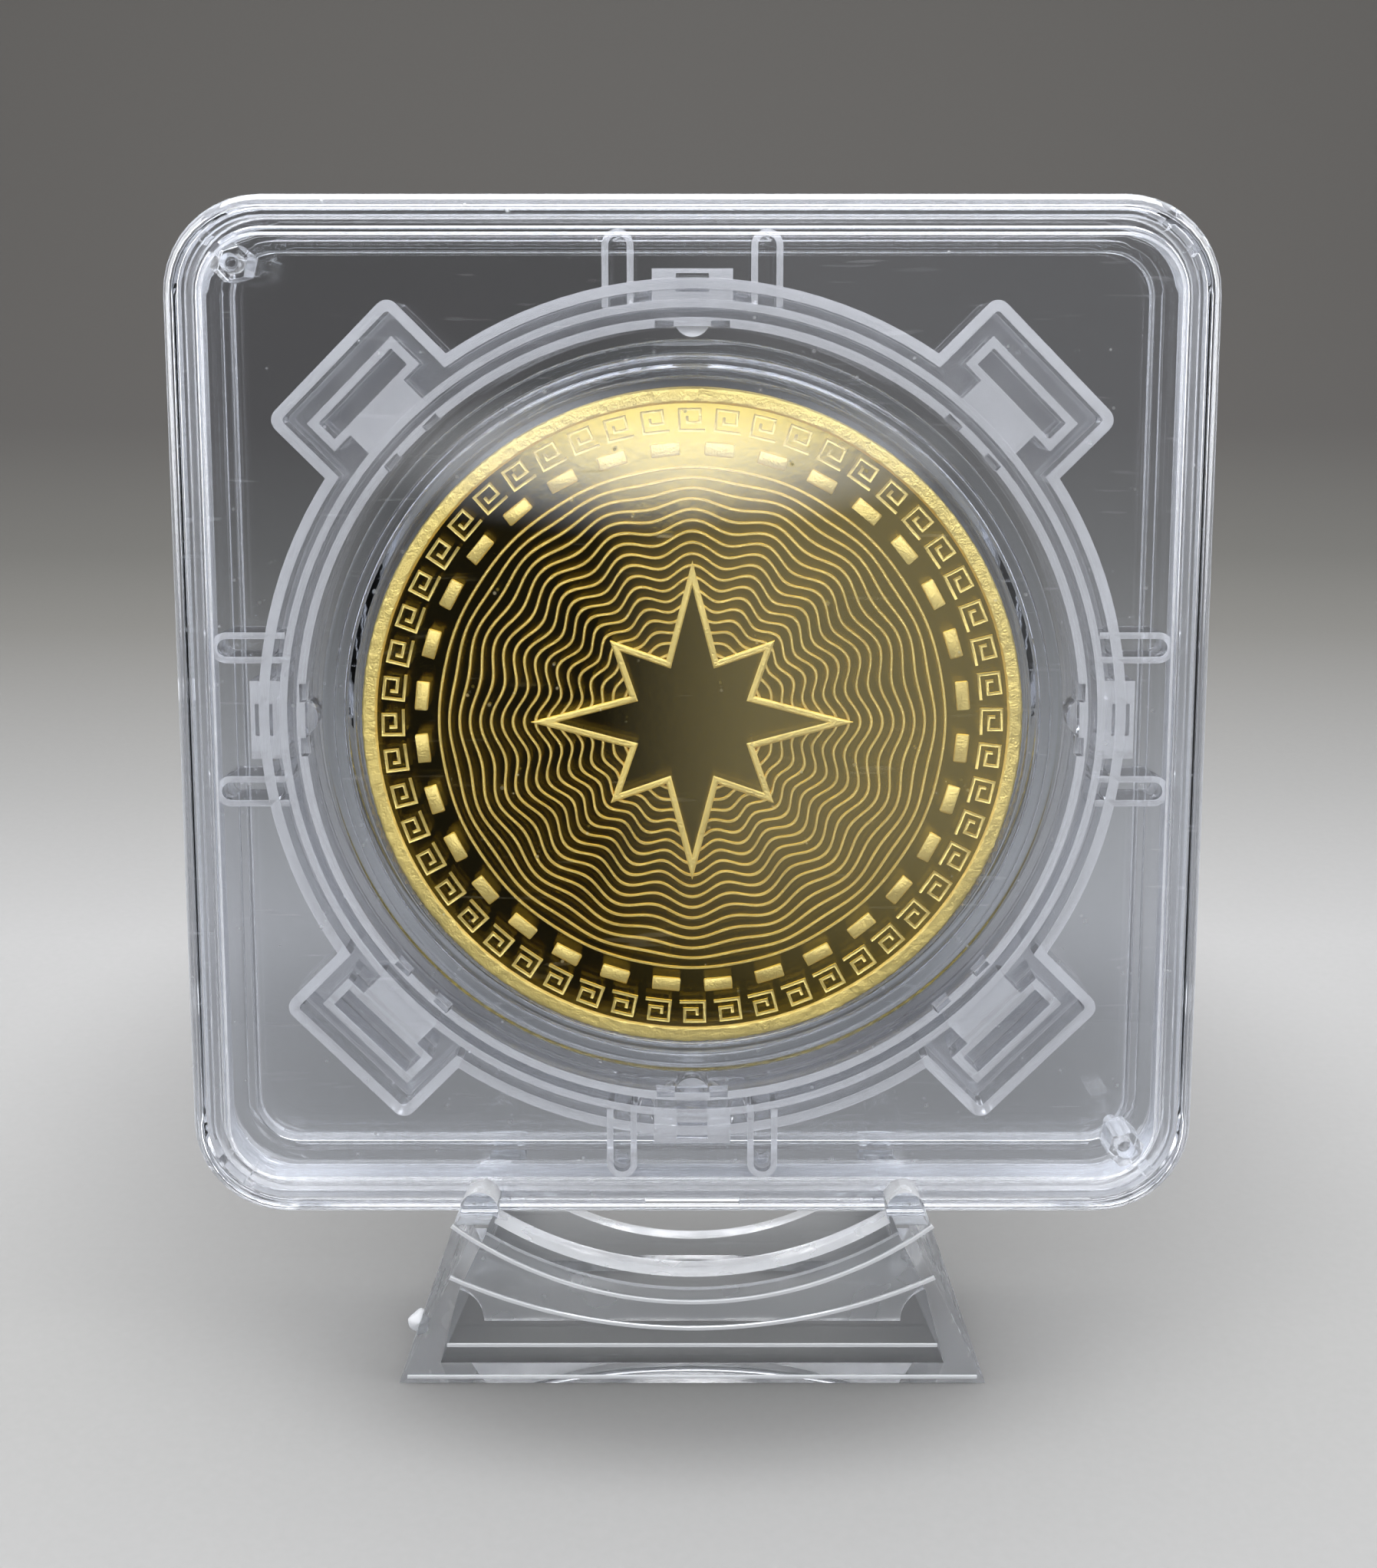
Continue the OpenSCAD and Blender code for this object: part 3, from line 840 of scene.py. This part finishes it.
class SLAB_OT_coin_body(bpy.types.Operator):
    """Builds the coin's mirror field with its reeded edge, and its grained rim"""

    bl_idname = "slab.coin_body"
    bl_label = "Coin"

    def execute(self, context):
        coin = context.scene.slab_coin
        bm = bmesh.new()
        inner, edge = COIN_R - coin.rim, COIN_R - 0.02
        rings = [inner * k / 20 for k in range(21)]
        lathe(bm, [(r, coin.field) for r in rings]
              + [(edge, coin.field, 0.06), (edge, -coin.field, 0.06)]
              + [(r, -coin.field) for r in rings[::-1]], 4 * coin.reeds)
        for vert in bm.verts:
            vert.co.z *= 1 + dish(math.hypot(vert.co.x, vert.co.y)) / coin.field
            if math.hypot(vert.co.x, vert.co.y) > COIN_R - 0.1:
                turn = math.atan2(vert.co.y, vert.co.x) * coin.reeds
                vert.co.xy *= 1 - 0.05 * (1 - math.cos(turn)) / COIN_R
        settle(bm)
        finished(object_of("coin_body", bm), ["polished_gilt"], "coin", ["coin"])
        bm = bmesh.new()
        low = coin.field - 0.1
        lathe(bm, [(inner, low), (inner, coin.field + 0.08, 0.03),
                   (inner + 0.14, coin.rim_top, 0.08), (inner + 0.3, coin.rim_top),
                   (inner + 0.45, coin.rim_top), (inner + 0.6, coin.rim_top),
                   (COIN_R, coin.rim_top, 0.12), (COIN_R, low)],
              4 * coin.reeds, closed=True)
        for vert in bm.verts:
            if vert.co.z > coin.field:
                grit = noise.noise(vert.co * 6.0) + 0.6 * noise.noise(vert.co * 15.0)
                vert.co.z -= 0.05 + 0.05 * grit
                vert.co.xy *= 1 - (0.03 + 0.04 * grit) / COIN_R
        struck("coin_rim", bm)
        return {"FINISHED"}


class SLAB_OT_coin_star(bpy.types.Operator):
    """Builds the raised star: a polished top in a grained outline"""

    bl_idname = "slab.coin_star"
    bl_label = "Coin star"

    def execute(self, context):
        coin = context.scene.slab_coin
        bm = bmesh.new()
        made = bmesh.ops.create_circle(bm, cap_ends=True, segments=16, radius=coin.star_r)["verts"]
        for vert in made:
            step = round(math.atan2(vert.co.y, vert.co.x) / (math.tau / 16)) % 16
            vert.co.xy *= STAR_VALLEY if step % 2 else (1.0 if step % 4 == 0 else STAR_SHORT)
            vert.co.z = coin.field - 0.1
        raised = bmesh.ops.extrude_face_region(bm, geom=bm.faces[:])["geom"]
        bmesh.ops.translate(bm, vec=(0, 0, 0.27), verts=of_kind(raised, BMVert))
        top = of_kind(raised, BMFace)
        for face in bm.faces:
            face.material_index = 1
        for thickness, depth in ((0.1, 0.04), (0.2, 0.0), (0.08, -0.05)):
            bmesh.ops.inset_region(bm, faces=top, thickness=thickness, depth=depth,
                                   use_even_offset=True)
        for face in top:
            face.material_index = 0
        struck("coin_star", bm, ("polished_gilt", "frosted_gilt"), 20)
        return {"FINISHED"}


class SLAB_OT_coin_rosette(bpy.types.Operator):
    """Builds the engine-turned rosette: nested raised lines that wave round the coin"""

    bl_idname = "slab.coin_rosette"
    bl_label = "Coin rosette"

    def execute(self, context):
        coin = context.scene.slab_coin
        bm = bmesh.new()
        first, last = 4.2, 0.765 * COIN_R
        for index in range(coin.rings):
            radius = first + (last - first) * index / (coin.rings - 1)
            swing = 0.34 * math.sin(math.pi * index / (coin.rings - 1)) + 0.02
            line = bmesh.new()
            low, high = coin.field - 0.05, coin.field + 0.11 + dish(radius)
            lathe(line, [(radius - 0.115, low), (radius - 0.045, high), (radius + 0.045, high),
                         (radius + 0.115, low)], 256, closed=True)
            for vert in line.verts:
                turn = math.atan2(vert.co.y, vert.co.x)
                vert.co.xy *= 1 + swing * math.cos(16 * turn) / radius
            held = bpy.data.meshes.new("line")
            line.to_mesh(held)
            line.free()
            bm.from_mesh(held)
            bpy.data.meshes.remove(held)
        struck("coin_rosette", bm)
        return {"FINISHED"}


class SLAB_OT_coin_border(bpy.types.Operator):
    """Builds the ring of small grained bars and the border of key figures"""

    bl_idname = "slab.coin_border"
    bl_label = "Coin border"

    def execute(self, context):
        coin = context.scene.slab_coin
        bm = bmesh.new()
        draw = random.Random(7)
        for index in range(coin.bars):
            made = block(bm, BAR_SIZE, (0, 0, coin.field + 0.02), 0.09)
            for vert in made:
                vert.co += Vector(draw.uniform(-0.02, 0.02) for _ in range(3))
            bmesh.ops.translate(bm, vec=(BAR_RING * COIN_R, 0, 0), verts=made)
            placed(bm, made, turn=(index + 0.5) * math.tau / coin.bars)
        struck("coin_bars", bm)
        bm = bmesh.new()
        for index in range(coin.keys):
            made = key_figure(bm, coin.field)
            bmesh.ops.translate(bm, vec=(KEY_RING * COIN_R, 0, 0), verts=made)
            placed(bm, made, turn=index * math.tau / coin.keys)
        struck("coin_key_border", bm)
        return {"FINISHED"}


def key_figure(bm, floor):
    """One square spiral of the border, as a raised stroke along KEY_PATH."""
    path = [Vector(p) * KEY_UNIT for p in KEY_PATH]
    steps = [(b - a).normalized() for a, b in zip(path, path[1:])]
    sides = [Vector((-s.y, s.x)) for s in steps]
    out = [sides[0]] + [a + b for a, b in zip(sides, sides[1:])] + [sides[-1]]
    left = [p + o * KEY_STROKE / 2 for p, o in zip(path, out)]
    right = [p - o * KEY_STROKE / 2 for p, o in zip(path, out)]
    verts = [bm.verts.new((p.x, p.y, floor - 0.05)) for p in left + right[::-1]]
    face = bm.faces.new(verts)
    raised = bmesh.ops.extrude_face_region(bm, geom=[face])["geom"]
    lifted = of_kind(raised, BMVert)
    bmesh.ops.translate(bm, vec=(0, 0, 0.16), verts=lifted)
    top = of_kind(raised, BMFace)
    inner = bmesh.ops.inset_region(bm, faces=top, thickness=0.035, depth=0.03,
                                   use_even_offset=True)["faces"]
    return list(set(verts) | set(lifted) | {v for f in inner + top for v in f.verts})


# ---------------------------------------------------------------- the stage


EYE = Vector((-0.22, 20.67, 140.28))
AIM = Vector((0, -0.1755, -0.9845))
LENS = 54.34
# Each lamp's width and height, its place, what it faces (in metres) and its watts.
LAMPS = {
    "top_softbox": ((0.3, 0.14), (0, 0.09, 0.26), (0, 0.05, 0), 1.25),
    "left_softbox": ((0.25, 0.4), (-0.4, 0.02, 0.2), SLAB.translation, 1.5),
    "right_softbox": ((0.25, 0.4), (0.4, 0.02, 0.2), SLAB.translation, 1.5),
    "front_softbox": ((0.4, 0.15), (0, -0.36, 0.34), SLAB.translation, 1.4),
    "rear_softbox": ((0.5, 0.2), (0, 0.38, 0.42), SLAB.translation, 1.6),
}
# The card's painted light, as tones by depth in metres that fall off from just in front of the slab
# towards the rear and the front, and its painted shadows by centre, half widths and depth.
CARD_NEAR, CARD_DEEP = -0.25, 0.5
PAINTED_FALLOFF_TONES = [(CARD_NEAR, "#565654"), (-0.1, "#606060"), (-0.045, "#848484"), (0.0, "#7A7A79"),
              (0.055, "#7C7C7C"), (0.086, "#696968"), (0.128, "#4E4D4A"), (0.154, "#403F3C"),
              (0.21, "#33312F"), (0.34, "#363431"), (CARD_DEEP, "#3C3A37")]
PAINTED_SHADOWS = [((0, 0.03), (0.056, 0.044), 0.48), ((0, 0.0), (0.027, 0.0125), 0.64)]
# The mirrored card's size, place and least glow, and the two ramps that light its right side.
GLOW_SIZE, GLOW_PLACE, LEAST_GLOW = (0.9, 0.42, 1), (0, -0.6, 0.2), 0.014
GLOW_RAMPS = [("X", -0.04, 0.035, 0.0, 1.0), ("Z", 0.0, 0.07, 0.02, 0.3)]


def aimed(piece, place, target):
    """Puts a lamp or card at a place, turned to face a target."""
    piece.location = place
    piece.rotation_mode = "QUATERNION"
    piece.rotation_quaternion = (Vector(target) - Vector(place)).to_track_quat("-Z", "Y")
    bpy.context.scene.collection.objects.link(piece)
    return piece


def softbox(name, size, place, target, watts):
    """A rectangular lamp."""
    lamp = bpy.data.lights.new(name, "AREA")
    lamp.shape, lamp.size, lamp.size_y = "RECTANGLE", size[0], size[1]
    lamp.energy = watts
    return aimed(bpy.data.objects.new(name, lamp), place, target)


def backdrop():
    """A sheet of grey card that lies flat and curves up far behind."""
    bm = bmesh.new()
    near, bend, rise, wide = -0.9, 0.45, 0.9, 1.6
    outline = [Vector((-wide, y, z)) for y, z in
               softened([(near, 0), (bend, 0, 0.25), (bend, rise)], steps=24)]
    pushed(bm, chain(bm, outline), Vector((2 * wide, 0, 0)))
    for face in bm.faces:
        face.smooth = True
    bmesh.ops.recalc_face_normals(bm, faces=bm.faces)
    return object_of("backdrop", bm, recalculate=False)


def card_finish():
    """Matt grey card with faint mottling. Its colour also holds painted light: tones that fall off
    from just in front of the slab towards the rear and the front, and soft painted shadows under
    the slab and at the easel's foot."""
    material, tree, out, where = new_material("grey_card")
    place = add_node(tree, "ShaderNodeSeparateXYZ", {"Vector": where})
    depth = add_node(tree, "ShaderNodeMapRange", {
        "Value": place.outputs["Y"], "From Min": CARD_NEAR, "From Max": CARD_DEEP})
    # Painted light: lighter just in front of the slab, darker towards the rear and the front.
    painted_falloff = add_node(tree, "ShaderNodeValToRGB", {"Fac": depth.outputs["Result"]})
    ramp = painted_falloff.color_ramp
    ramp.elements[0].color = colour(PAINTED_FALLOFF_TONES[0][1])
    ramp.elements[1].color = colour(PAINTED_FALLOFF_TONES[-1][1])
    for place_y, hexa in PAINTED_FALLOFF_TONES[1:-1]:
        ramp.elements.new((place_y - CARD_NEAR) / (CARD_DEEP - CARD_NEAR)).color = colour(hexa)
    mottle = add_node(tree, "ShaderNodeTexNoise", {
        "Vector": where, "Scale": per_mm(0.6), "Detail": 4.0})
    speckle = add_node(tree, "ShaderNodeMapRange", {
        "Value": mottle.outputs["Fac"], "To Min": 0.96, "To Max": 1.04})
    dim = speckle.outputs["Result"]
    # Painted shadows: soft dark blots under the slab, whose clear shells cast none, and at the
    # easel's foot.
    for (x, y), (wide, deep), low in PAINTED_SHADOWS:
        spread = add_node(tree, "ShaderNodeMapping", {
            "Vector": where, "Location": (-x / wide, -y / deep, 0),
            "Scale": (1 / wide, 1 / deep, 0.0)})
        away = add_node(tree, "ShaderNodeVectorMath", {0: spread.outputs["Vector"]},
                        operation="LENGTH")
        shade = add_node(tree, "ShaderNodeMapRange", {
            "Value": away.outputs["Value"], "From Min": 0.35, "From Max": 1.0, "To Min": low,
            "To Max": 1.0}, interpolation_type="SMOOTHSTEP")
        dim = add_node(tree, "ShaderNodeMath", {0: dim, 1: shade.outputs["Result"]},
                       operation="MULTIPLY").outputs["Value"]
    mixed = add_node(tree, "ShaderNodeVectorMath", {0: painted_falloff.outputs["Color"], 1: dim},
                     operation="MULTIPLY")
    shader = add_node(tree, "ShaderNodeBsdfPrincipled", {
        "Base Color": mixed.outputs["Vector"], "Roughness": 0.75})
    tree.links.new(shader.outputs["BSDF"], out.inputs["Surface"])
    return material


def mirrored_card():
    """The glowing card in front that the coin mirrors: bright above, dark at the lower left."""
    material, tree, out, where = new_material("glowing_card")
    place = add_node(tree, "ShaderNodeSeparateXYZ", {"Vector": where})
    spread = add_node(tree, "ShaderNodeMapping", {
        "Vector": where, "Location": (0.04, 0, -6.5), "Scale": (8.5, 0.0, 36.0)})
    away = add_node(tree, "ShaderNodeVectorMath", {0: spread.outputs["Vector"]},
                    operation="LENGTH")
    halo = add_node(tree, "ShaderNodeMapRange", {
        "Value": away.outputs["Value"], "From Min": 0.1, "From Max": 1.0, "To Min": 2.7,
        "To Max": 0.0}, interpolation_type="SMOOTHSTEP")
    ramps = [add_node(tree, "ShaderNodeMapRange", {
        "Value": place.outputs[axis], "From Min": start, "From Max": end, "To Min": low,
        "To Max": high}, interpolation_type="SMOOTHSTEP").outputs["Result"]
        for axis, start, end, low, high in GLOW_RAMPS]
    right = add_node(tree, "ShaderNodeMath", dict(enumerate(ramps)), operation="MULTIPLY")
    lit = add_node(tree, "ShaderNodeMath", {
        0: halo.outputs["Result"], 1: right.outputs["Value"]}, operation="MAXIMUM")
    glow = add_node(tree, "ShaderNodeMath", {0: lit.outputs["Value"], 1: LEAST_GLOW},
                    operation="MAXIMUM")
    lamp = add_node(tree, "ShaderNodeEmission", {"Strength": glow.outputs["Value"]})
    tree.links.new(lamp.outputs["Emission"], out.inputs["Surface"])
    bm = bmesh.new()
    made = bmesh.ops.create_grid(bm, x_segments=1, y_segments=1, size=0.5)["verts"]
    bmesh.ops.scale(bm, vec=GLOW_SIZE, verts=made)
    placed(bm, made, GLOW_PLACE, math.pi / 2, "X")
    card = object_of("glowing_card", bm, recalculate=False)
    card.data.materials.append(material)
    card.visible_camera = False
    return card


class SLAB_OT_stage(bpy.types.Operator):
    """Sets up the grey card, the lamps, the card that the coin mirrors, and the camera"""

    bl_idname = "slab.stage"
    bl_label = "Stage"

    def execute(self, context):
        scene = context.scene
        sheet = backdrop()
        sheet.data.materials.append(card_finish())
        for name, lamp in LAMPS.items():
            softbox(name, *lamp)
        mirrored = mirrored_card()
        scene.world = bpy.data.worlds.new("room")
        scene.world.use_nodes = True
        room = scene.world.node_tree.nodes["Background"].inputs
        room["Color"].default_value = colour("#F4F6FF")
        room["Strength"].default_value = 0.55

        camera = bpy.data.cameras.new("camera")
        camera.lens, camera.sensor_width, camera.sensor_fit = LENS, 36, "AUTO"
        camera.clip_start = 0.005
        scene.camera = aimed(bpy.data.objects.new("camera", camera), SLAB @ EYE,
                             SLAB @ (EYE + AIM * 100))

        scene.cycles.max_bounces = 24
        scene.cycles.transmission_bounces = 24
        scene.cycles.glossy_bounces = 10
        scene.cycles.diffuse_bounces = 4
        scene.cycles.caustics_reflective = True
        scene.cycles.sample_clamp_indirect = 8.0
        scene.view_settings.view_transform = "Standard"
        return {"FINISHED"}


# ---------------------------------------------------------------- panel and registration


PIECES = [SLAB_OT_easel, SLAB_OT_case_back, SLAB_OT_case_front, SLAB_OT_insert_ring,
          SLAB_OT_capsule, SLAB_OT_coin_body, SLAB_OT_coin_star, SLAB_OT_coin_rosette,
          SLAB_OT_coin_border, SLAB_OT_stage]


class SLAB_PT_panel(bpy.types.Panel):
    """Lists the slab's pieces and the stage"""

    bl_idname = "SLAB_PT_panel"
    bl_label = "Coin slab"
    bl_space_type = "VIEW_3D"
    bl_region_type = "UI"
    bl_category = "Coin slab"

    def draw(self, context):
        for group in GROUPS:
            box = self.layout.box()
            for name in getattr(context.scene, group).bl_rna.properties.keys():
                if name not in ("rna_type", "name"):
                    box.prop(getattr(context.scene, group), name)
        for piece in PIECES:
            self.layout.operator(piece.bl_idname)


CLASSES = [*GROUPS.values(), *PIECES, SLAB_PT_panel]


def register():
    for cls in CLASSES:
        bpy.utils.register_class(cls)
    for name, group in GROUPS.items():
        setattr(bpy.types.Scene, name, PointerProperty(type=group))


def unregister():
    for name in GROUPS:
        delattr(bpy.types.Scene, name)
    for cls in reversed(CLASSES):
        bpy.utils.unregister_class(cls)


def main():
    """Builds every piece and the stage."""
    register()
    for piece in PIECES:
        group, name = piece.bl_idname.split(".")
        getattr(getattr(bpy.ops, group), name)()


if __name__ == "__main__":
    main()
